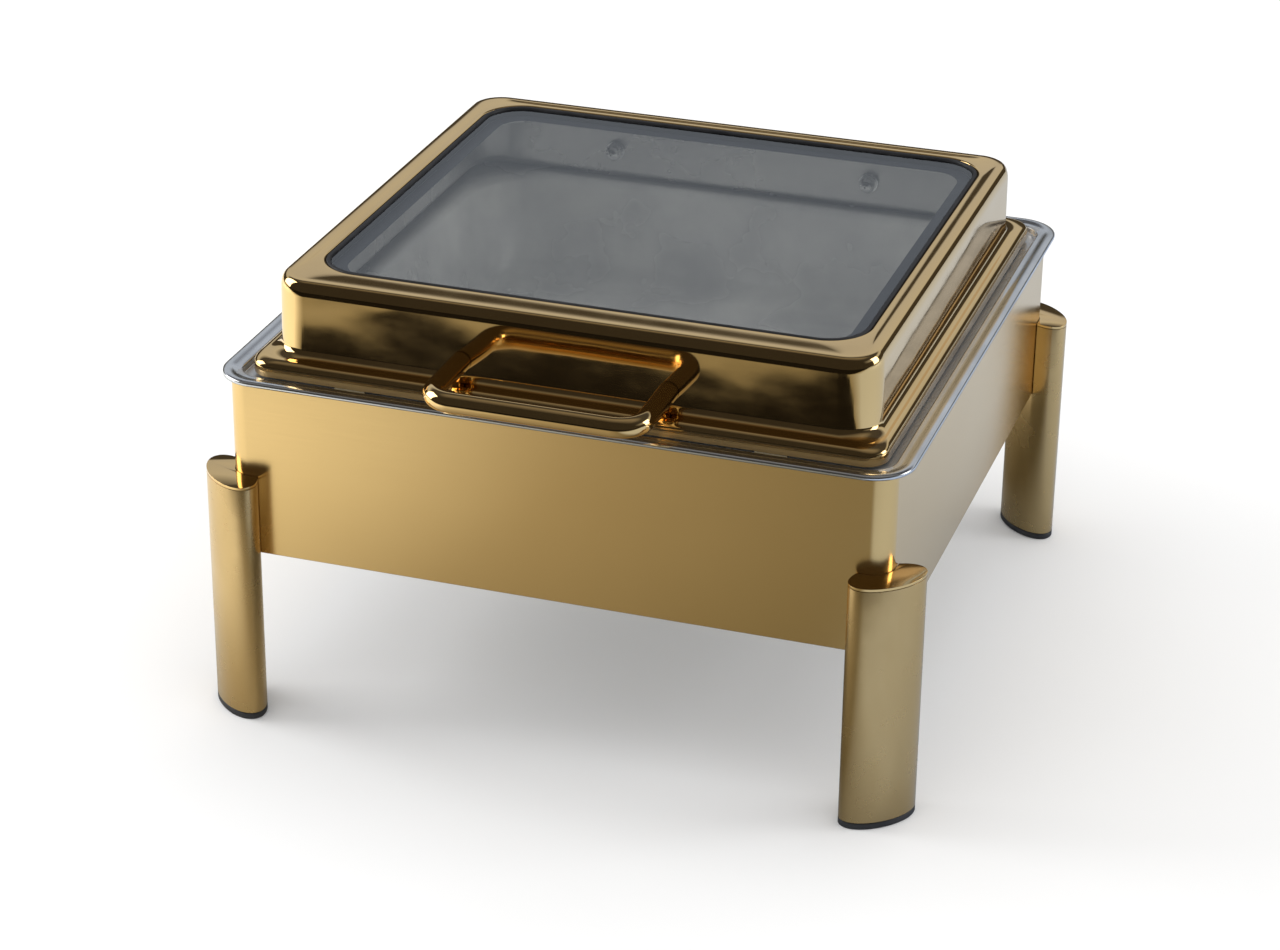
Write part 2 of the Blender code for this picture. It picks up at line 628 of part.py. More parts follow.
def make_hinge_lid_side(lid, bolt_places, bolt_holes):
    wall_rear = LID_CENTRE_Y + LID_HALF[1]
    pad_y = wall_rear + 2 * GAP
    axis_place = along((0, HINGE_Y, HINGE_Z), (1, 0, 0))
    spindle_bore = hole_cutter("arm_bores", SPINDLE_BORE, [axis_place], -0.09, 0.09, 20)
    for side, sx in SIDES.items():
        builder = bmesh.new()
        web = sorted((sx * (ARM_X - ARM_SHEET / 2), sx * (ARM_X + ARM_SHEET / 2)))
        add_prism(builder, arm_outline(), web[0], web[1], YZ_PLANE)
        arm = finish(f"hinge_arm_{side}", builder, POLISHED_GOLD, lid)
        pad = bmesh.new()
        edge = sorted((sx * (ARM_X - ARM_SHEET / 2 + 0.001), sx * (BOLT_X + 0.010)))
        add_box(pad, (edge[0], pad_y, PAD_BOTTOM), (edge[1], pad_y + PAD_SHEET, PAD_TOP))
        combine(arm, cutter(f"arm_pad_{side}", pad), "UNION")
        combine(arm, bolt_holes)
        combine(arm, spindle_bore)

    head = pad_y - wall_rear + PAD_SHEET + GAP
    bolt = [(0.0036, head + 0.0030), (0.0052, head + 0.0018), (0.0052, head)]
    bolt += [(BOLT_RADIUS, head), (BOLT_RADIUS, -0.0075)]
    turned_set("hinge_bolt", bolt, bolt_places, CHROME, lid)
    nut_base = -LID_SHEET - 2 * GAP
    bore = BOLT_RADIUS + GAP
    washer = tube_profile(0.0062, bore, nut_base - 0.0010, nut_base)
    turned_set("hinge_washer", washer, bolt_places, CHROME, lid)
    nut_top = nut_base - 0.0013
    nut_bottom = nut_top - 0.0035
    dome_radius = 0.0050
    nut = [(bore, nut_top), (0.0052, nut_top), (0.0052, nut_bottom)]
    for angle in (0.35, 0.8, 1.25):
        nut.append((dome_radius * math.cos(angle), nut_bottom - dome_radius * math.sin(angle)))
    nut.append((0.0004, nut_bottom - dome_radius))
    nut += [(0.0004, -0.0079), (bore, -0.0079), (bore, nut_top)]
    turned_set("dome_nut", nut, bolt_places, CHROME, lid)

    spindle = [(SPINDLE_RADIUS, SPINDLE_HALF), (SPINDLE_RADIUS, -SPINDLE_HALF)]
    turned("hinge_spindle", spindle, axis_place, SATIN_STEEL, lid)
    rotor = tube_profile(ROTOR_RADIUS, SPINDLE_BORE, -ROTOR_HALF, ROTOR_HALF)
    turned("damper_rotor", rotor, axis_place, SATIN_STEEL, lid)
    cap_x = SPINDLE_HALF + GAP
    ends = {side: along((sx * cap_x, HINGE_Y, HINGE_Z), (sx, 0, 0)) for side, sx in SIDES.items()}
    turned_set("spindle_cap", [(0.0062, 0.0036), (0.0078, 0.0024), (0.0078, 0)], ends, CHROME, lid)


def make_hinge_base(unit, pan):
    """A folded plate screwed to the rear rim, which cradles the damper barrel."""
    rim_y = RIM_HALF[1]
    top = RIM_TOP + GAP
    back = rim_y + 0.0010
    shelf = HINGE_Z - BARREL_RADIUS - GAP
    shelf_end = HINGE_Y + 0.004
    outline = [
        (rim_y - BASE_OVERLAP, top),
        (back, top),
        (back, shelf - BASE_SHEET),
        (shelf_end, shelf - BASE_SHEET),
        (shelf_end, shelf),
        (back + BASE_SHEET, shelf),
        (back + BASE_SHEET, top + BASE_SHEET),
        (rim_y - BASE_OVERLAP, top + BASE_SHEET),
    ]
    builder = bmesh.new()
    add_prism(builder, outline, -BASE_HALF, BASE_HALF, YZ_PLANE)
    base = finish("hinge_base", builder, SATIN_STEEL, unit)
    places = {
        side: along((sx * BASE_SCREW_X, rim_y - BASE_SCREW_INSET, top + BASE_SHEET), (0, 0, 1))
        for side, sx in SIDES.items()
    }
    hole = BASE_SCREW_RADIUS + GAP
    holes = hole_cutter("base_holes", hole, places.values(), BASE_SCREW_END - GAP, 0.004, 12)
    combine(base, holes)
    combine(pan, holes)
    screw = [(0.0020, GAP + 0.0016), (0.0029, GAP + 0.0009), (0.0029, GAP)]
    screw += [(BASE_SCREW_RADIUS, GAP), (BASE_SCREW_RADIUS, BASE_SCREW_END)]
    turned_set("base_screw", screw, places, CHROME, unit, steps=12)

    axis_place = along((0, HINGE_Y, HINGE_Z), (1, 0, 0))
    inner_end = BARREL_HALF - BARREL_CAP_LENGTH
    barrel_end = inner_end - GAP
    barrel = tube_profile(BARREL_RADIUS, BARREL_BORE, -barrel_end, barrel_end)
    turned("damper_barrel", barrel, axis_place, CHROME, unit, steps=28)
    for side, sx in SIDES.items():
        place = along((0, HINGE_Y, HINGE_Z), (sx, 0, 0))
        cap = [
            (SPINDLE_BORE, BARREL_HALF),
            (BARREL_CAP_RADIUS - 0.001, BARREL_HALF),
            (BARREL_CAP_RADIUS, BARREL_HALF - 0.001),
            (BARREL_CAP_RADIUS, inner_end),
            (SPINDLE_BORE, inner_end),
            (SPINDLE_BORE, BARREL_HALF),
        ]
        turned(f"damper_cap_{side}", cap, place, SATIN_GOLD, unit, steps=28)


def main():
    make_stand()
    unit = pivot("pan_unit_lift", (0, 0, RIM_TOP))
    pan = make_water_pan(unit)
    food = pivot("food_pan_lift", (0, 0, LEDGE_TOP), unit)
    make_food_pan(food)
    make_hinge_base(unit, pan)
    lid = pivot("lid_hinge", (0, HINGE_Y, HINGE_Z), unit)
    make_lid(lid)


main()
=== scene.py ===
"""Looks of the roll top chafer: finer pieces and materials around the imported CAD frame."""

import math

import bmesh
import bpy
from mathutils import Matrix, Vector


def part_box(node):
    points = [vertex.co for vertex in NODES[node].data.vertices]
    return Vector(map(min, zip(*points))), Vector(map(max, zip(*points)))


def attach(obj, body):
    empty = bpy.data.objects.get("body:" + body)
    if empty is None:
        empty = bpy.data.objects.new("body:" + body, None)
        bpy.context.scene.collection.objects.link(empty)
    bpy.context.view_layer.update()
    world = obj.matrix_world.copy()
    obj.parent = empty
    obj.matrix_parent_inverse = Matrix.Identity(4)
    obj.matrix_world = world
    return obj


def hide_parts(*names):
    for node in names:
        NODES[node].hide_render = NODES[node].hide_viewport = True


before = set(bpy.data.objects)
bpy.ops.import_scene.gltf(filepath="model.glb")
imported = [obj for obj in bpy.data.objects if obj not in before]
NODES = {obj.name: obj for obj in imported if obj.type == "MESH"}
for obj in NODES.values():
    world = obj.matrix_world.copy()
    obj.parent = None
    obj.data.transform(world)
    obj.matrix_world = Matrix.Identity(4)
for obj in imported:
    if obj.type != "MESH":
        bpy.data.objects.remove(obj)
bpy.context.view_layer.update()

CORNERS = {
    "front_left": (-1, -1),
    "front_right": (1, -1),
    "rear_left": (-1, 1),
    "rear_right": (1, 1),
}
SIDES = ("left", "right")

# Smoothness of the finer meshes: steps in a quarter corner, a bend, a turned part and a leg
CORNER_STEPS = 28
ROUND_STEPS = 8
TURN_STEPS = 96
LEG_STEPS = 128

# ---------------------------------------------------------------- node trees

NOISE_LOW = 0.3
NOISE_HIGH = 0.7


class Tree:
    """A node tree, with short calls for the nodes that the finishes and the sky share."""

    def __init__(self, tree):
        self.tree = tree

    def add(self, kind, **settings):
        node = self.tree.nodes.new(kind)
        for key, value in settings.items():
            setattr(node, key, value)
        return node

    def link(self, source, target):
        self.tree.links.new(source, target)

    def axes(self, source):
        """The X, Y and Z outputs of a place or a direction."""
        split = self.add("ShaderNodeSeparateXYZ")
        self.link(source, split.inputs["Vector"])
        return split.outputs

    def spread(self, source, low, high, source_low=NOISE_LOW, source_high=NOISE_HIGH):
        """Maps a value onto the range low to high. The defaults take in most of a noise."""
        node = self.add("ShaderNodeMapRange")
        node.inputs["From Min"].default_value = source_low
        node.inputs["From Max"].default_value = source_high
        node.inputs["To Min"].default_value = low
        node.inputs["To Max"].default_value = high
        self.link(source, node.inputs["Value"])
        return node.outputs["Result"]

    def progress(self, source, start, end):
        """How far a value has gone from start to end, as 0 to 1."""
        return self.spread(source, 0, 1, start, end)

    def blend(self, factor, first, second):
        """Mixes two colours, each a fixed (red, green, blue) or the output of a node."""
        node = self.add("ShaderNodeMix", data_type="RGBA")
        self.link(factor, node.inputs["Factor"])
        for key, colour in (("A", first), ("B", second)):
            if isinstance(colour, tuple):
                node.inputs[key].default_value = (*colour, 1)
            else:
                self.link(colour, node.inputs[key])
        return node.outputs["Result"]

    def ramp(self, source, stops):
        """A colour ramp over a 0 to 1 value, from (position, colour) stops."""
        node = self.add("ShaderNodeValToRGB")
        self.link(source, node.inputs["Fac"])
        elements = node.color_ramp.elements
        while len(elements) < len(stops):
            elements.new(1.0)
        for element, (position, colour) in zip(elements, stops):
            element.position = position
            element.color = (*colour, 1)
        return node.outputs["Color"]


class Finish(Tree):
    """A material's node tree. Its textures follow the piece's own coordinates, in metres."""

    def __init__(self, name):
        self.material = bpy.data.materials.new(name)
        self.material.use_nodes = True
        super().__init__(self.material.node_tree)
        self.shader = self.tree.nodes["Principled BSDF"]
        self.output = self.tree.nodes["Material Output"]
        self.place = self.add("ShaderNodeTexCoord").outputs["Object"]

    def noise(self, scale, detail=3.0, roughness=0.55):
        """A noise with its own scale, in waves per metre, along each axis."""
        mapping = self.add("ShaderNodeMapping")
        mapping.inputs["Scale"].default_value = scale
        self.link(self.place, mapping.inputs["Vector"])
        node = self.add("ShaderNodeTexNoise")
        node.inputs["Scale"].default_value = 1.0
        node.inputs["Detail"].default_value = detail
        node.inputs["Roughness"].default_value = roughness
        self.link(mapping.outputs["Vector"], node.inputs["Vector"])
        return node.outputs["Fac"]

    def wander(self, noise, first, second):
        """A colour that wanders between two others with a noise."""
        return self.blend(self.spread(noise, 0, 1), first, second)

    def bump(self, height, distance, under=None):
        """A relief of a depth in metres, laid over the relief under it if there is one."""
        node = self.add("ShaderNodeBump")
        node.inputs["Distance"].default_value = distance
        node.inputs["Strength"].default_value = 1.0
        self.link(height, node.inputs["Height"])
        if under is not None:
            self.link(under, node.inputs["Normal"])
        return node.outputs["Normal"]

    def set(self, **values):
        """Fixes inputs of the shader at one value."""
        for key, value in values.items():
            self.shader.inputs[key.replace("_", " ")].default_value = value

    def feed(self, **sources):
        """Links inputs of the shader to the outputs of nodes."""
        for key, value in sources.items():
            self.link(value, self.shader.inputs[key.replace("_", " ")])


# ---------------------------------------------------------------- procedural materials


def polished_gold():
    """Mirror-polished gold plating: slow ripples from pressing and a trace of wipe marks."""
    made = Finish("polished_gold")
    tone = made.noise((9, 9, 9), detail=2)
    colour = made.wander(tone, (0.87, 0.60, 0.27), (0.82, 0.555, 0.235))
    smear = made.noise((40, 40, 90), detail=4)
    ripple = made.noise((14, 14, 22), detail=1.5, roughness=0.4)
    normal = made.bump(ripple, distance=0.00035)
    made.feed(Base_Color=colour, Roughness=made.spread(smear, 0.035, 0.075), Normal=normal)
    made.set(Metallic=1.0)
    return made.material


def satin_gold():
    """Satin gold plating: fine level brush lines over a slightly uneven sheet."""
    made = Finish("satin_gold")
    tone = made.noise((5, 5, 5), detail=3)
    colour = made.wander(tone, (0.85, 0.59, 0.26), (0.80, 0.545, 0.23))
    lines = made.noise((25, 25, 3200), detail=2)
    sheet = made.noise((5, 5, 7), detail=1.5)
    normal = made.bump(sheet, distance=0.0003)
    normal = made.bump(lines, distance=0.000003, under=normal)
    made.feed(Base_Color=colour, Roughness=made.spread(lines, 0.19, 0.23), Normal=normal)
    made.set(Metallic=1.0)
    return made.material


def leg_gold():
    """The legs' satin gold, brushed along their length, with small handling marks."""
    made = Finish("leg_gold")
    tone = made.noise((30, 30, 8), detail=4)
    colour = made.wander(tone, (0.67, 0.47, 0.22), (0.59, 0.40, 0.17))
    lines = made.noise((2200, 2200, 10), detail=2)
    marks = made.noise((60, 60, 60), detail=5)
    normal = made.bump(lines, distance=0.000008)
    made.feed(Base_Color=colour, Roughness=made.spread(marks, 0.20, 0.30), Normal=normal)
    made.set(Metallic=1.0)
    return made.material


def satin_steel():
    """Satin stainless steel with faint rolling lines and cloudy buffing."""
    made = Finish("satin_steel")
    cloud = made.noise((14, 14, 14), detail=4)
    colour = made.wander(cloud, (0.70, 0.70, 0.69), (0.58, 0.58, 0.58))
    lines = made.noise((18, 1500, 1500), detail=2)
    dents = made.noise((26, 26, 26), detail=2)
    normal = made.bump(dents, distance=0.0007)
    normal = made.bump(lines, distance=0.000012, under=normal)
    made.feed(Base_Color=colour, Roughness=made.spread(cloud, 0.24, 0.36), Normal=normal)
    made.set(Metallic=0.72)
    return made.material


def pan_steel():
    """The food pan's pale satin steel with shallow dents. Its strong cloudy colour is partly buffing
    and partly painted highlight.
    """
    made = Finish("pan_steel")
    cloud = made.noise((10, 10, 10), detail=4)
    # Colour clouds from pale to mid grey: partly buffing marks, partly painted highlight, the pale
    # blotches standing in for bright blotchy highlights
    colour = made.wander(cloud, (0.95, 0.95, 0.92), (0.50, 0.50, 0.50))
    lines = made.noise((18, 1500, 1500), detail=2)
    dents = made.noise((24, 24, 24), detail=2)
    normal = made.bump(dents, distance=0.0010)
    normal = made.bump(lines, distance=0.000012, under=normal)
    made.feed(Base_Color=colour, Roughness=made.spread(cloud, 0.18, 0.34), Normal=normal)
    made.set(Metallic=0.22)
    return made.material


def rim_steel():
    """The bright rolled rim: polished steel with a fine grain."""
    made = Finish("rim_steel")
    cloud = made.noise((25, 25, 25), detail=3)
    colour = made.wander(cloud, (0.80, 0.80, 0.80), (0.72, 0.73, 0.74))
    grain = made.noise((900, 900, 900), detail=1)
    normal = made.bump(grain, distance=0.000006)
    made.feed(Base_Color=colour, Roughness=made.spread(cloud, 0.14, 0.22), Normal=normal)
    made.set(Metallic=1.0)
    return made.material


def chrome():
    """Bright chrome on the small hardware, with faint smears."""
    made = Finish("chrome")
    smear = made.noise((120, 120, 120), detail=3)
    colour = made.wander(smear, (0.86, 0.87, 0.88), (0.78, 0.79, 0.80))
    made.feed(Base_Color=colour, Roughness=made.spread(smear, 0.03, 0.09))
    made.set(Metallic=1.0)
    return made.material


def black_rubber():
    """Black moulded rubber with a fine matt grain."""
    made = Finish("black_rubber")
    grain = made.noise((1400, 1400, 1400), detail=2)
    dust = made.noise((60, 60, 60), detail=4)
    colour = made.wander(dust, (0.012, 0.012, 0.014), (0.026, 0.026, 0.029))
    normal = made.bump(grain, distance=0.00005)
    made.feed(Base_Color=colour, Roughness=made.spread(dust, 0.42, 0.6), Normal=normal)
    return made.material


def silicone():
    """Silicone on the lid's bumpers, gold-grey like the metal round it."""
    made = Finish("silicone")
    cloud = made.noise((200, 200, 200), detail=3)
    colour = made.wander(cloud, (0.34, 0.28, 0.17), (0.28, 0.23, 0.14))
    made.feed(Base_Color=colour, Roughness=made.spread(cloud, 0.35, 0.5))
    return made.material


def border_print():
    """The ceramic print round the glass: blue-black, slightly uneven."""
    made = Finish("border_print")
    cloud = made.noise((70, 70, 70), detail=3)
    colour = made.wander(cloud, (0.030, 0.034, 0.046), (0.042, 0.047, 0.062))
    made.feed(Base_Color=colour, Roughness=made.spread(cloud, 0.3, 0.45))
    return made.material


GLASS_INDEX = 1.52


def smoked_glass():
    """Smoked tempered glass: tints what is behind it and mirrors at a shallow angle."""
    made = Finish("smoked_glass")
    made.tree.nodes.remove(made.shader)
    haze = made.noise((11, 11, 11), detail=3)
    tint = made.add("ShaderNodeBsdfTransparent")
    colour = made.wander(haze, (0.80, 0.80, 0.79), (0.77, 0.77, 0.77))
    made.link(colour, tint.inputs["Color"])
    mirror = made.add("ShaderNodeBsdfGlossy")
    mirror.inputs["Color"].default_value = (0.94, 0.97, 1.0, 1)
    made.link(made.spread(haze, 0.012, 0.03), mirror.inputs["Roughness"])
    fresnel = made.add("ShaderNodeFresnel")
    fresnel.inputs["IOR"].default_value = GLASS_INDEX
    geometry = made.add("ShaderNodeNewGeometry")
    outside = made.progress(geometry.outputs["Backfacing"], 1.0, 0.0)
    share = made.add("ShaderNodeMath", operation="MULTIPLY")
    made.link(fresnel.outputs["Fac"], share.inputs[0])
    made.link(outside, share.inputs[1])
    mix = made.add("ShaderNodeMixShader")
    made.link(share.outputs["Value"], mix.inputs["Fac"])
    made.link(tint.outputs["BSDF"], mix.inputs[1])
    made.link(mirror.outputs["BSDF"], mix.inputs[2])
    made.link(mix.outputs["Shader"], made.output.inputs["Surface"])
    return made.material


POLISHED_GOLD = polished_gold()
SATIN_GOLD = satin_gold()
LEG_GOLD = leg_gold()
SATIN_STEEL = satin_steel()
PAN_STEEL = pan_steel()
RIM_STEEL = rim_steel()
CHROME = chrome()
BLACK_RUBBER = black_rubber()
SILICONE = silicone()
BORDER_PRINT = border_print()
SMOKED_GLASS = smoked_glass()

# ---------------------------------------------------------------- mesh helpers

MERGE_DISTANCE = 1e-6
SAME_PLACE = 1e-9

# How far along its legs a cubic curve's handles lie when it rounds a corner like an arc
ARC_HANDLE = 0.5523


def scene_object(name, builder):
    """Turns a bmesh into an object in the scene."""
    mesh = bpy.data.meshes.new(name)
    builder.to_mesh(mesh)
    builder.free()
    made = bpy.data.objects.new(name, mesh)
    bpy.context.scene.collection.objects.link(made)
    return made


def place_piece(name, builder, body, finishes, stands_for=(), sharp=40):
    """Turns a bmesh into a piece that rides on a body, with edges over an angle kept crisp."""
    bmesh.ops.remove_doubles(builder, verts=builder.verts, dist=MERGE_DISTANCE)
    piece = scene_object(name, builder)
    piece.data.shade_smooth()
    piece.data.set_sharp_from_angle(angle=math.radians(sharp))
    for finish in finishes:
        piece.data.materials.append(finish)
    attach(piece, body)
    if stands_for:
        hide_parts(*stands_for)
    return piece


class Station:
    """One ring of a pressed profile: a rounded rectangle at a height."""

    def __init__(self, half, radius, z, centre_y=0.0, trim=0.0):
        self.values = Vector((half[0], half[1], radius, z, centre_y))
        self.trim = trim

    def toward(self, other, distance):
        """The values at a distance from here towards another station, at most halfway."""
        step = other.values - self.values
        reach = math.hypot(step[0], step[3])
        share = min(0.5, distance / reach) if reach > SAME_PLACE else 0
        return self.values + step * share


def rounded_profile(stations):
    """Rings through the stations, each station's corner rounded over its trim length."""
    rings = [stations[0].values]
    for before, here, after in zip(stations, stations[1:], stations[2:]):
        if not here.trim:
            rings.append(here.values)
            continue
        start, end = here.toward(before, here.trim), here.toward(after, here.trim)
        near_start = start.lerp(here.values, ARC_HANDLE)
        near_end = end.lerp(here.values, ARC_HANDLE)
        for step in range(ROUND_STEPS + 1):
            t = step / ROUND_STEPS
            u = 1 - t
            from_start = start * u**3 + near_start * (3 * u * u * t)
            rings.append(from_start + near_end * (3 * u * t * t) + end * t**3)
    rings.append(stations[-1].values)
    return rings


def ring_points(values):
    """The points of one ring, anticlockwise from above."""
    half_x, half_y, radius, z, centre_y = values
    points = []
    for quarter, (sx, sy) in enumerate(((1, 1), (-1, 1), (-1, -1), (1, -1))):
        centre = Vector((sx * (half_x - radius), centre_y + sy * (half_y - radius), z))
        for step in range(CORNER_STEPS + 1):
            angle = math.pi / 2 * (quarter + step / CORNER_STEPS)
            points.append(centre + radius * Vector((math.cos(angle), math.sin(angle), 0)))
    return points


def bridge(builder, rings, closed=False):
    """Joins rings of points, each to the next, with four-sided faces."""
    levels = [[builder.verts.new(point) for point in points] for points in rings]
    pairs = list(zip(levels, levels[1:]))
    if closed:
        pairs.append((levels[-1], levels[0]))
    for upper, lower in pairs:
        for k in range(len(upper)):
            follow = (k + 1) % len(upper)
            builder.faces.new((upper[k], lower[k], lower[follow], upper[follow]))
    return levels


def profile_rings(stations):
    """The rings of points of a pressed profile."""
    return [ring_points(values) for values in rounded_profile(stations)]


def closed_band(rings):
    """A band whose profile closes on itself."""
    builder = bmesh.new()
    bridge(builder, rings, closed=True)
    return builder


def capped_solid(rings):
    """A solid through the rings, with a flat face at both ends."""
    builder = bmesh.new()
    levels = bridge(builder, rings)
    builder.faces.new(levels[0])
    builder.faces.new(reversed(levels[-1]))
    return builder


def pressed_skin(stations, floor=False):
    """The visible skin of a pressed sheet, with rounded bends and, if asked, a flat floor."""
    builder = bmesh.new()
    levels = bridge(builder, profile_rings(stations))
    if floor:
        builder.faces.new(levels[0])
    return builder


def thicken(piece, sheet, back_finish=0):
    """Puts a sheet's real thickness behind its visible skin."""
    solid = piece.modifiers.new("sheet", "SOLIDIFY")
    solid.thickness = sheet
    solid.offset = -1
    solid.use_even_offset = True
    solid.material_offset = back_finish


def soften(piece, edge, segments, angle):
    """Bevels the edges that are sharper than an angle in degrees."""
    bevel = piece.modifiers.new("edges", "BEVEL")
    bevel.width = edge
    bevel.segments = segments
    bevel.limit_method = "ANGLE"
    bevel.angle_limit = math.radians(angle)


def grown(half, amount):
    return (half[0] + amount, half[1] + amount)


def half_size(node):
    low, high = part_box(node)
    return ((high.x - low.x) / 2, (high.y - low.y) / 2)


# ---------------------------------------------------------------- stand

SKIRT_RADIUS = 0.012
SKIRT_SHEET = 0.0015
SKIRT_HEM = 0.0006

LEG_HALF = (0.0232, 0.0125)
LEG_INSET = 0.0014
LEG_EDGE = 0.0002
LEG_TOP_EDGE = 0.0004
NOTCH_GAP = 0.0003
CUTTER_REACH = 0.01

PAD_GAP = 0.0003
PAD_EDGE = 0.0008
PAD_INSET = 0.0035

# The middle of each rolled edge of a pad: how far it lies in from the side and from the face
PAD_TOP_ROLL = (0.0002, 0.0004)
PAD_FOOT_ROLL = (0.0003, 0.0003)


def skirt_panel():
    """The wrap-round skirt. Its top ends under the rim, below the underside of the rim's shelf."""
    half = half_size("skirt_band")
    low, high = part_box("skirt_band")
    top = high.z - BEAD_RISE
    inner_half, inner_radius = grown(half, -SKIRT_SHEET), SKIRT_RADIUS - SKIRT_SHEET
    stations = [
        Station(half, SKIRT_RADIUS, top),
        Station(half, SKIRT_RADIUS, (low.z + high.z) / 2),
        Station(half, SKIRT_RADIUS, low.z, trim=SKIRT_HEM),
        Station(inner_half, inner_radius, low.z, trim=SKIRT_HEM),
        Station(inner_half, inner_radius, top),
    ]
    builder = closed_band(profile_rings(stations))
    place_piece("skirt_panel", builder, "stand", [SATIN_GOLD], ["skirt_band"])


def oval_points(half, centre, turn, z):
    """The points of one oval ring, turned about the vertical."""
    spin = Matrix.Rotation(turn, 3, "Z")
    points = []
    for step in range(LEG_STEPS):
        angle = 2 * math.pi * step / LEG_STEPS
        local = Vector((half[0] * math.cos(angle), half[1] * math.sin(angle), 0))
        points.append(spin @ local + Vector((centre[0], centre[1], z)))
    return points


def skirt_cutter():
    """The block that notches the legs round the skirt's corners."""
    low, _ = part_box("skirt_band")
    _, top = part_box("leg_cap_front_left")
    half = grown(half_size("skirt_band"), NOTCH_GAP)
    radius = SKIRT_RADIUS + NOTCH_GAP
    heights = (top.z + CUTTER_REACH, low.z - NOTCH_GAP)
    rings = [ring_points((*half, radius, z, 0.0)) for z in heights]
    return scene_object("skirt_cutter", capped_solid(rings))


def notched(name, rings, tool, edge, finish, stands_for):
    """An oval leg piece cut round the skirt's corner, with softened edges."""
    blank = scene_object(f"{name}_blank", capped_solid(rings))
    cut = blank.modifiers.new("notch", "BOOLEAN")
    cut.operation = "DIFFERENCE"
    cut.solver = "EXACT"
    cut.object = tool
    soften(blank, edge, segments=3, angle=40)
    bpy.context.view_layer.update()
    evaluated = blank.evaluated_get(bpy.context.evaluated_depsgraph_get())
    result = bmesh.new()
    result.from_mesh(evaluated.to_mesh())
    bpy.data.objects.remove(blank)
    place_piece(name, result, "stand", [finish], stands_for, sharp=30)


def legs():
    """Each leg's tube, polished top plate and foot pad."""
    tool = skirt_cutter()
    skirt_half = half_size("skirt_band")
    for label, (sx, sy) in CORNERS.items():
        centre = (sx * (skirt_half[0] - LEG_INSET), sy * (skirt_half[1] - LEG_INSET))
        turn = math.atan2(sy, sx) + math.pi / 2
        for name, node, edge, slot, finish in (
            ("leg_tube", "leg", LEG_EDGE, "satin_gold", LEG_GOLD),
            ("leg_top", "leg_cap", LEG_TOP_EDGE, "polished_gold", POLISHED_GOLD),
        ):
            low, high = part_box(f"{node}_{label}")
            rings = [oval_points(LEG_HALF, centre, turn, z) for z in (high.z, low.z)]
            notched(f"{name}_{label}", rings, tool, edge, finish, [f"{node}_{label}"])
        tube_low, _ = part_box(f"leg_{label}")
        foot_pad(label, centre, turn, tube_low.z)
    bpy.data.objects.remove(tool)


def foot_pad(label, centre, turn, leg_end):
    """A thin black pad with rolled edges, just under the leg's end."""
    top = leg_end - PAD_GAP
    profile = [
        (-PAD_INSET, top),
        (-PAD_EDGE, top),
        (-PAD_TOP_ROLL[0], top - PAD_TOP_ROLL[1]),
        (0, top - PAD_EDGE),
        (0, PAD_EDGE),
        (-PAD_FOOT_ROLL[0], PAD_FOOT_ROLL[1]),
        (-PAD_EDGE, 0),
    ]
    rings = [oval_points(grown(LEG_HALF, out), centre, turn, z) for out, z in profile]
    place_piece(
        f"foot_pad_{label}", capped_solid(rings), "stand",
        finishes=[BLACK_RUBBER], stands_for=[f"foot_{label}"],
    )


# ---------------------------------------------------------------- pans

PAN_SHEET = 0.0012
PAN_WALL_HALF = (0.1705, 0.1665)
PAN_WALL_RADIUS = 0.034
PAN_WALL_LEAN = 0.004
PAN_FOOT_RADIUS = 0.032
PAN_FOOT_BEND = 0.009
PAN_FLAT_INSET = 0.0205
PAN_FLAT_RADIUS = 0.020

# The ledge that the food pan stands on, and the gutter round it
LEDGE_HALF = (0.1768, 0.1723)
LEDGE_RADIUS = 0.021
LEDGE_TOP = 0.2073
LEDGE_BEND = 0.0018
GUTTER_FLOOR = 0.2012
GUTTER_RADIUS = 0.0140
GUTTER_BEND = 0.0010

# The rim: a shelf, then a bead that stands above it, then the rolled edge
RIM_RADIUS = 0.024
RIM_TOP = 0.2063
RIM_WIDTH = 0.0110
RIM_DROP = 0.0024
BEAD_RISE = 0.0009
BEAD_FOOT = 0.0068
BEAD_TOP = 0.0044
BEAD_BEND = 0.0013
RIM_FINISH_LAP = 0.0008

FOOD_SHEET = 0.001
FOOD_WALL_HALF = (0.1632, 0.1587)
FOOD_WALL_RADIUS = 0.051
FOOD_WALL_LEAN = 0.0117
FOOD_WALL_BEND = 0.0035
FOOD_FOOT_RADIUS = 0.044
FOOD_FOOT_BEND = 0.012
FOOD_FLAT_INSET = 0.0332
FOOD_FLAT_RADIUS = 0.030
FOOD_FLANGE_RADIUS = 0.0205


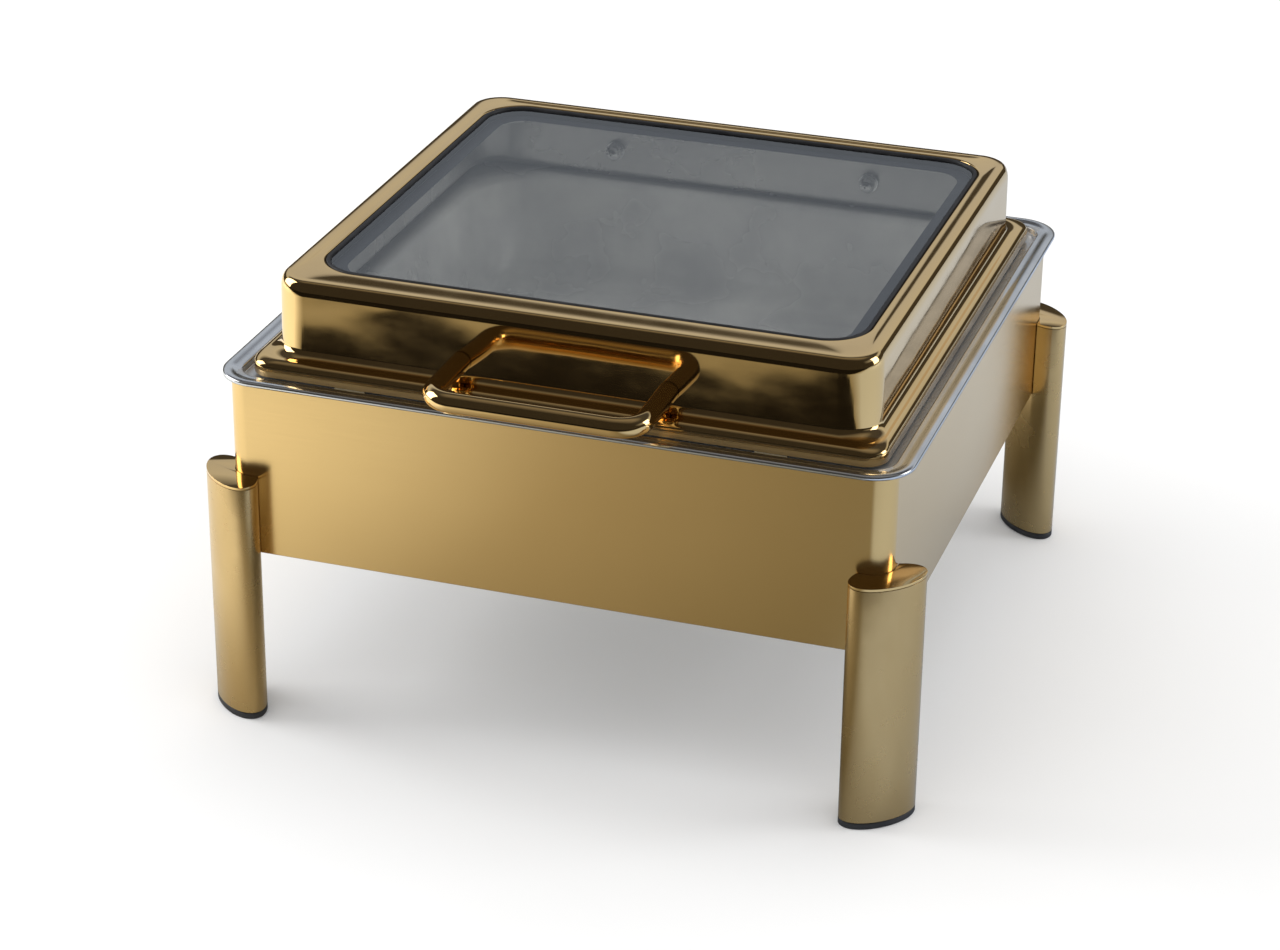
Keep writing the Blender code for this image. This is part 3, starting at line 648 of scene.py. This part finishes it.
def water_pan():
    """The water pan: a pressed pan with a ledge, a gutter and a rim in brighter steel."""
    rim = half_size("water_pan")
    low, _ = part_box("water_pan")
    floor = low.z + PAN_SHEET
    ledge, ledge_radius = grown(LEDGE_HALF, PAN_SHEET), LEDGE_RADIUS + PAN_SHEET
    gutter = grown(rim, -RIM_WIDTH)
    shelf_top = RIM_TOP - BEAD_RISE
    stations = [
        Station(grown(PAN_WALL_HALF, -PAN_FLAT_INSET), PAN_FLAT_RADIUS, floor),
        Station(grown(PAN_WALL_HALF, -PAN_WALL_LEAN), PAN_FOOT_RADIUS, floor, trim=PAN_FOOT_BEND),
        Station(PAN_WALL_HALF, PAN_WALL_RADIUS, LEDGE_TOP, trim=LEDGE_BEND),
        Station(ledge, ledge_radius, LEDGE_TOP, trim=PAN_SHEET),
        Station(ledge, ledge_radius, GUTTER_FLOOR, trim=GUTTER_BEND),
        Station(gutter, GUTTER_RADIUS, GUTTER_FLOOR, trim=GUTTER_BEND),
        Station(gutter, GUTTER_RADIUS, shelf_top, trim=PAN_SHEET),
        Station(grown(rim, -BEAD_FOOT), RIM_RADIUS - BEAD_FOOT, shelf_top, trim=BEAD_BEND),
        Station(grown(rim, -BEAD_TOP), RIM_RADIUS - BEAD_TOP, RIM_TOP, trim=BEAD_BEND),
        Station(rim, RIM_RADIUS, RIM_TOP, trim=RIM_DROP),
        Station(rim, RIM_RADIUS, RIM_TOP - RIM_DROP),
    ]
    builder = pressed_skin(stations, floor=True)
    rolled = grown(rim, -RIM_WIDTH - RIM_FINISH_LAP)
    for face in builder.faces:
        outside = all(abs(v.co.x) > rolled[0] or abs(v.co.y) > rolled[1] for v in face.verts)
        face.material_index = int(outside)
    piece = place_piece(
        "water_pan_pressing", builder, "pan_unit",
        finishes=[SATIN_STEEL, RIM_STEEL], stands_for=["water_pan"],
    )
    thicken(piece, PAN_SHEET)


def food_pan():
    """The food pan, with a flat flange that lies on the ledge."""
    low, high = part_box("food_pan")
    floor = low.z + FOOD_SHEET
    foot = grown(FOOD_WALL_HALF, -FOOD_WALL_LEAN)
    stations = [
        Station(grown(FOOD_WALL_HALF, -FOOD_FLAT_INSET), FOOD_FLAT_RADIUS, floor),
        Station(foot, FOOD_FOOT_RADIUS, floor, trim=FOOD_FOOT_BEND),
        Station(FOOD_WALL_HALF, FOOD_WALL_RADIUS, high.z, trim=FOOD_WALL_BEND),
        Station(half_size("food_pan"), FOOD_FLANGE_RADIUS, high.z),
    ]
    piece = place_piece(
        "food_pan_pressing", pressed_skin(stations, floor=True), "food_pan_body",
        finishes=[PAN_STEEL], stands_for=["food_pan"],
    )
    thicken(piece, FOOD_SHEET)


# ---------------------------------------------------------------- lid

LID_HALF = (0.1715, 0.164)
LID_CENTRE_Y = -0.0015
LID_RADIUS = 0.020
LID_SHEET = 0.0013
LID_EDGE_RADIUS = 0.0080
LID_WALL_LEAN = 0.0006
LID_FOOT_BEND = 0.0045
FLANGE_RADIUS = 0.013
FLANGE_TOP = 0.213
FLANGE_BEND = 0.0040

# The hem round the window stands lower than the frame outside it
HEM_FOOT = 0.2520
HEM_TOP = 0.2560
HEM_WIDTH = 0.0038
HEM_GAP = 0.0003
HEM_BEND = 0.0012
FRAME_TOP = 0.2567
FRAME_INSET = 0.0078

WINDOW_CENTRE_Y = 0.004
WINDOW_RADIUS = 0.025
GASKET_WIDTH = 0.0026
GASKET_BEAD = 0.0009
PANE_RADIUS = WINDOW_RADIUS - GASKET_WIDTH
PRINT_WIDTH = 0.0085
PRINT_DEPTH = 0.00015
PRINT_GAP = 0.00005
PRINT_INSET = 0.0003

HANDLE_BEND = 0.014
HANDLE_BEND_STEPS = 16
HANDLE_STEPS = 48


def lid_pressing():
    """The lid's gold shell, from the hem round its window out to the flange, steel inside."""
    flange = half_size("lid_shell")
    low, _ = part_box("lid_shell")
    hem, hem_radius = grown(half_size("glass_gasket"), HEM_GAP), WINDOW_RADIUS + HEM_GAP

    def over_window(out, z, trim=0.0):
        return Station(grown(hem, out), hem_radius + out, z, WINDOW_CENTRE_Y, trim)

    def over_wall(out, z, trim):
        return Station(grown(LID_HALF, out), LID_RADIUS + out, z, LID_CENTRE_Y, trim)

    stations = [
        over_window(0, HEM_FOOT),
        over_window(0, HEM_TOP, HEM_BEND),
        over_window(HEM_WIDTH, HEM_TOP, HEM_BEND),
        over_wall(-FRAME_INSET, FRAME_TOP, HEM_BEND),
        over_wall(0, FRAME_TOP, LID_EDGE_RADIUS),
        over_wall(LID_WALL_LEAN, FLANGE_TOP, LID_FOOT_BEND),
        Station(flange, FLANGE_RADIUS, FLANGE_TOP, trim=FLANGE_BEND),
        Station(flange, FLANGE_RADIUS, low.z),
    ]
    piece = place_piece(
        "lid_pressing", pressed_skin(stations), "lid",
        finishes=[POLISHED_GOLD, SATIN_STEEL], stands_for=["lid_shell"],
    )
    thicken(piece, LID_SHEET, back_finish=1)


def gasket_bead():
    gasket = half_size("glass_gasket")
    low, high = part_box("glass_gasket")
    inner = grown(gasket, -GASKET_WIDTH)
    stations = [
        Station(inner, PANE_RADIUS, low.z, WINDOW_CENTRE_Y),
        Station(inner, PANE_RADIUS, high.z, WINDOW_CENTRE_Y, trim=GASKET_BEAD),
        Station(gasket, WINDOW_RADIUS, high.z, WINDOW_CENTRE_Y, trim=GASKET_BEAD),
        Station(gasket, WINDOW_RADIUS, low.z, WINDOW_CENTRE_Y),
    ]
    builder = closed_band(profile_rings(stations))
    place_piece("gasket_bead", builder, "lid", [BLACK_RUBBER], ["glass_gasket"])


def glass_pane():
    glass = half_size("glass_panel")
    low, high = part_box("glass_panel")
    rings = [ring_points((*glass, PANE_RADIUS, z, WINDOW_CENTRE_Y)) for z in (high.z, low.z)]
    builder = capped_solid(rings)
    place_piece("glass_pane", builder, "lid", [SMOKED_GLASS], ["glass_panel"])


def glass_border_print():
    """The printed border, a thin band just under the glass."""
    low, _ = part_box("glass_panel")
    top = low.z - PRINT_GAP
    bottom = top - PRINT_DEPTH
    outer = grown(half_size("glass_panel"), -PRINT_INSET)
    opening = grown(half_size("glass_gasket"), -PRINT_WIDTH - GASKET_WIDTH)
    opening_radius = WINDOW_RADIUS - PRINT_WIDTH
    builder = closed_band([
        ring_points((*opening, opening_radius, top, WINDOW_CENTRE_Y)),
        ring_points((*outer, PANE_RADIUS, top, WINDOW_CENTRE_Y)),
        ring_points((*outer, PANE_RADIUS, bottom, WINDOW_CENTRE_Y)),
        ring_points((*opening, opening_radius, bottom, WINDOW_CENTRE_Y)),
    ])
    place_piece("glass_border_print", builder, "lid", [BORDER_PRINT])


def handle_path(low, high, radius):
    """The middle line of the handle's rod, from one end round two bends to the other."""
    half_width = (high.x - low.x) / 2 - radius
    front_y = low.y + radius
    height = (low.z + high.z) / 2
    path = [Vector((-half_width, high.y, height))]
    for sx in (-1, 1):
        for step in range(HANDLE_BEND_STEPS + 1):
            bent = step if sx < 0 else HANDLE_BEND_STEPS - step
            turn = math.pi / 2 * bent / HANDLE_BEND_STEPS
            x = sx * (half_width - HANDLE_BEND * (1 - math.cos(turn)))
            path.append(Vector((x, front_y + HANDLE_BEND * (1 - math.sin(turn)), height)))
    path.append(Vector((half_width, high.y, height)))
    return path


def handle_rod():
    """The loop handle's rod, a circle swept along its middle line."""
    low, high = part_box("handle_bar")
    radius = (high.z - low.z) / 2
    path = handle_path(low, high, radius)
    up = Vector((0, 0, 1))
    turns = [2 * math.pi * step / HANDLE_STEPS for step in range(HANDLE_STEPS)]
    rings = []
    for k, point in enumerate(path):
        before, after = path[max(k - 1, 0)], path[min(k + 1, len(path) - 1)]
        ahead = (after - before).normalized()
        side = Vector((ahead.y, -ahead.x, 0))
        rings.append([point + radius * (math.cos(a) * side + math.sin(a) * up) for a in turns])
    builder = capped_solid(rings)
    bmesh.ops.recalc_face_normals(builder, faces=builder.faces)
    place_piece("handle_rod", builder, "lid", [POLISHED_GOLD], ["handle_bar"])


# ---------------------------------------------------------------- hardware

BARREL_BORE = 0.0095
BARREL_EDGE = 0.0005
SPINDLE_BORE = 0.0053
CAP_EDGE = 0.0009
HARDWARE_EDGE = 0.0003
ARM_EDGE = 0.0008
WELD_DISTANCE = 0.00001

# How deep the middle of a rolled edge lies below the corner that it rounds
ROLL_MIDDLE = 0.3


def dress(node, finish, edge=HARDWARE_EDGE):
    """Gives a CAD node a procedural finish and softly broken edges."""
    piece = NODES[node]
    piece.data.materials.clear()
    piece.data.materials.append(finish)
    weld = piece.modifiers.new("weld", "WELD")
    weld.merge_threshold = WELD_DISTANCE
    soften(piece, edge, segments=2, angle=50)


def bored_round(name, node, bore, edge, finish):
    """A bored round part on the hinge's axis, with rolled edges, in place of a CAD node."""
    low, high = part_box(node)
    centre = (low + high) / 2
    radius = (high.z - low.z) / 2
    middle = ROLL_MIDDLE * edge
    ends = [(bore, 0), (radius - edge, 0), (radius - middle, middle), (radius, edge)]
    profile = [(size, low.x + inset) for size, inset in ends]
    profile += [(size, high.x - inset) for size, inset in reversed(ends)]
    turns = [2 * math.pi * step / TURN_STEPS for step in range(TURN_STEPS)]
    rings = []
    for size, x in profile:
        offsets = [Vector((x - centre.x, size * math.cos(a), size * math.sin(a))) for a in turns]
        rings.append([centre + offset for offset in offsets])
    builder = closed_band(rings)
    bmesh.ops.recalc_face_normals(builder, faces=builder.faces)
    place_piece(name, builder, "pan_unit", [finish], [node])


def hardware():
    """Finishes for the small CAD nodes, and the damper's turned parts."""
    for label in CORNERS:
        dress(f"leg_bracket_{label}", SATIN_STEEL)
        dress(f"leg_screw_{label}", CHROME)
        dress(f"lid_bumper_{label}", SILICONE)
    for label in ("left", "right", "front", "rear"):
        dress(f"retainer_screw_{label}", CHROME)
    chromed = ("hinge_bolt", "hinge_washer", "dome_nut", "spindle_cap", "base_screw", "handle_screw")
    for side in SIDES:
        for node in chromed:
            dress(f"{node}_{side}", CHROME)
        dress(f"hinge_arm_{side}", POLISHED_GOLD, edge=ARM_EDGE)
        dress(f"handle_washer_{side}", SATIN_STEEL)
        cap = f"damper_cap_{side}"
        bored_round(f"{cap}_turned", cap, SPINDLE_BORE, CAP_EDGE, LEG_GOLD)
    for node in ("hinge_base", "glass_retainer", "hinge_spindle", "damper_rotor"):
        dress(node, SATIN_STEEL)
    barrel = "damper_barrel"
    bored_round(f"{barrel}_turned", barrel, BARREL_BORE, BARREL_EDGE, CHROME)


# ---------------------------------------------------------------- stage and light

STAGE_REACH = 4
STAGE_ROUGHNESS = 0.9
FLOOR_PALE = (0.93, 0.93, 0.93)
FLOOR_SHADE = 0.97

# The table that the metal mirrors lies just over the floor. Colours run from its left to its
# right, fade to one tone towards the front and end at a wavy edge, with a dark room beyond.
TABLE_HEIGHT = 0.0004
TABLE_SIDE = 0.5
TABLE_STOPS = [
    (0.15, (0.88, 0.90, 0.88)),
    (0.38, (0.36, 0.34, 0.28)),
    (0.62, (0.20, 0.19, 0.15)),
    (0.74, (0.48, 0.56, 0.70)),
]
TABLE_FRONT = (0.25, 0.235, 0.18)
TABLE_FADE_Y = -0.58
TABLE_FRONT_Y = -0.852
TABLE_EDGE_Y = TABLE_FRONT_Y + 0.045
TABLE_EDGE_BLUR = 0.004
EDGE_WAVES = (7, 7, 7)
EDGE_SWING = 0.09
DARK_ROOM = (0.010, 0.009, 0.008)

# What the metal mirrors above the table: a dark room in front, and these heights behind
SKY_FRONT = (0.035, 0.032, 0.028)
SKY_TURN = 0.35
SKY_STOPS = [
    (0.00, (0.05, 0.045, 0.035)),
    (0.30, (0.06, 0.055, 0.045)),
    (0.33, (0.50, 0.53, 0.57)),
    (0.48, (0.56, 0.60, 0.66)),
    (0.60, (0.06, 0.06, 0.07)),
    (0.80, (0.07, 0.07, 0.07)),
    (0.92, (0.26, 0.25, 0.24)),
]

LIGHT_TARGET = (0, 0, 0.15)


def stage_plane(name, z):
    """A large matt plane and the finish that still has to be given its colour."""
    corners = ((-1, -1), (1, -1), (1, 1), (-1, 1))
    builder = bmesh.new()
    verts = [builder.verts.new((sx * STAGE_REACH, sy * STAGE_REACH, z)) for sx, sy in corners]
    builder.faces.new(verts)
    card = scene_object(name, builder)
    made = Finish(name)
    made.set(Roughness=STAGE_ROUGHNESS, Specular_IOR_Level=0.0)
    card.data.materials.append(made.material)
    return card, made


def floor():
    """The pale floor, which the metal doesn't mirror."""
    card, made = stage_plane("floor", 0.0)
    darker = tuple(FLOOR_SHADE * value for value in FLOOR_PALE)
    made.feed(Base_Color=made.wander(made.noise((3, 3, 3), detail=2), FLOOR_PALE, darker))
    card.visible_glossy = False


def table_top():
    """The table that only the metal mirrors. The camera and the soft light pass through it."""
    card, made = stage_plane("table_top", TABLE_HEIGHT)
    place = made.axes(made.place)
    across = made.progress(place["X"], -TABLE_SIDE, TABLE_SIDE)
    forward = made.progress(place["Y"], TABLE_FADE_Y, TABLE_FRONT_Y)
    table = made.blend(forward, made.ramp(across, TABLE_STOPS), TABLE_FRONT)
    waved = made.add("ShaderNodeMath", operation="MULTIPLY_ADD")
    made.link(made.noise(EDGE_WAVES, detail=1, roughness=0.5), waved.inputs[0])
    waved.inputs[1].default_value = EDGE_SWING
    made.link(place["Y"], waved.inputs[2])
    near, far = TABLE_EDGE_Y + TABLE_EDGE_BLUR, TABLE_EDGE_Y - TABLE_EDGE_BLUR
    beyond = made.progress(waved.outputs["Value"], near, far)
    made.feed(Base_Color=made.blend(beyond, table, DARK_ROOM))
    card.visible_camera = False
    card.visible_diffuse = False
    card.visible_shadow = False
    card.visible_transmission = False


def sky():
    """White soft light all round. The metal mirrors a cool wall behind and a dark room in front."""
    world = bpy.data.worlds.new("studio")
    bpy.context.scene.world = world
    world.use_nodes = True
    made = Tree(world.node_tree)
    soft = made.tree.nodes["Background"]
    soft.inputs["Color"].default_value = (1.0, 1.0, 1.0, 1)
    direction = made.axes(made.add("ShaderNodeTexCoord").outputs["Generated"])
    toward_rear = made.progress(direction["Y"], -SKY_TURN, SKY_TURN)
    rear = made.ramp(direction["Z"], SKY_STOPS)
    mirrored = made.add("ShaderNodeBackground")
    made.link(made.blend(toward_rear, SKY_FRONT, rear), mirrored.inputs["Color"])
    choose = made.add("ShaderNodeMixShader")
    made.link(made.add("ShaderNodeLightPath").outputs["Is Glossy Ray"], choose.inputs["Fac"])
    made.link(soft.outputs["Background"], choose.inputs[1])
    made.link(mirrored.outputs["Background"], choose.inputs[2])
    made.link(choose.outputs["Shader"], made.tree.nodes["World Output"].inputs["Surface"])


def softbox(name, location, size, power):
    """A soft light of a size in metres and a power in watts, aimed at the object."""
    lamp = bpy.data.lights.new(name, "AREA")
    lamp.shape = "RECTANGLE"
    lamp.size, lamp.size_y = size
    lamp.energy = power
    box = bpy.data.objects.new(name, lamp)
    box.location = location
    aim = Vector(LIGHT_TARGET) - Vector(location)
    box.rotation_mode = "QUATERNION"
    box.rotation_quaternion = aim.to_track_quat("-Z", "Y")
    box.visible_camera = False
    bpy.context.scene.collection.objects.link(box)


def studio():
    floor()
    table_top()
    sky()
    softbox("left_softbox", location=(-1.7, -0.2, 0.9), size=(1.0, 1.4), power=16)
    softbox("right_softbox", location=(1.9, 0.5, 0.8), size=(0.8, 1.2), power=10)


# ---------------------------------------------------------------- camera

CAMERA_LENS = 93.52
CAMERA_SENSOR = 36
CAMERA_AZIMUTH = 18.1527
CAMERA_ELEVATION = 25.8197
CAMERA_ROLL = 0.6744
CAMERA_DISTANCE = 1.9898
CAMERA_TARGET = (-0.0107, 0.0, 0.0882)


def camera():
    """The photo's viewpoint, fitted by its angles, distance and lens."""
    azimuth, elevation = math.radians(CAMERA_AZIMUTH), math.radians(CAMERA_ELEVATION)
    back = Vector((
        math.sin(azimuth) * math.cos(elevation),
        -math.cos(azimuth) * math.cos(elevation),
        math.sin(elevation),
    ))
    right = (-back).cross(Vector((0, 0, 1))).normalized()
    up = back.cross(right)
    turn = Matrix((right, up, back)).transposed().to_4x4()
    data = bpy.data.cameras.new("camera")
    data.lens = CAMERA_LENS
    data.sensor_width = CAMERA_SENSOR
    viewer = bpy.data.objects.new("camera", data)
    position = Vector(CAMERA_TARGET) + back * CAMERA_DISTANCE
    spin = Matrix.Rotation(math.radians(CAMERA_ROLL), 4, "Z")
    viewer.matrix_world = Matrix.Translation(position) @ turn @ spin
    bpy.context.scene.collection.objects.link(viewer)
    bpy.context.scene.camera = viewer
    bpy.context.scene.view_settings.view_transform = "Standard"


skirt_panel()
legs()
water_pan()
food_pan()
lid_pressing()
gasket_bead()
glass_pane()
glass_border_print()
handle_rod()
hardware()
studio()
camera()

bpy.context.view_layer.update()
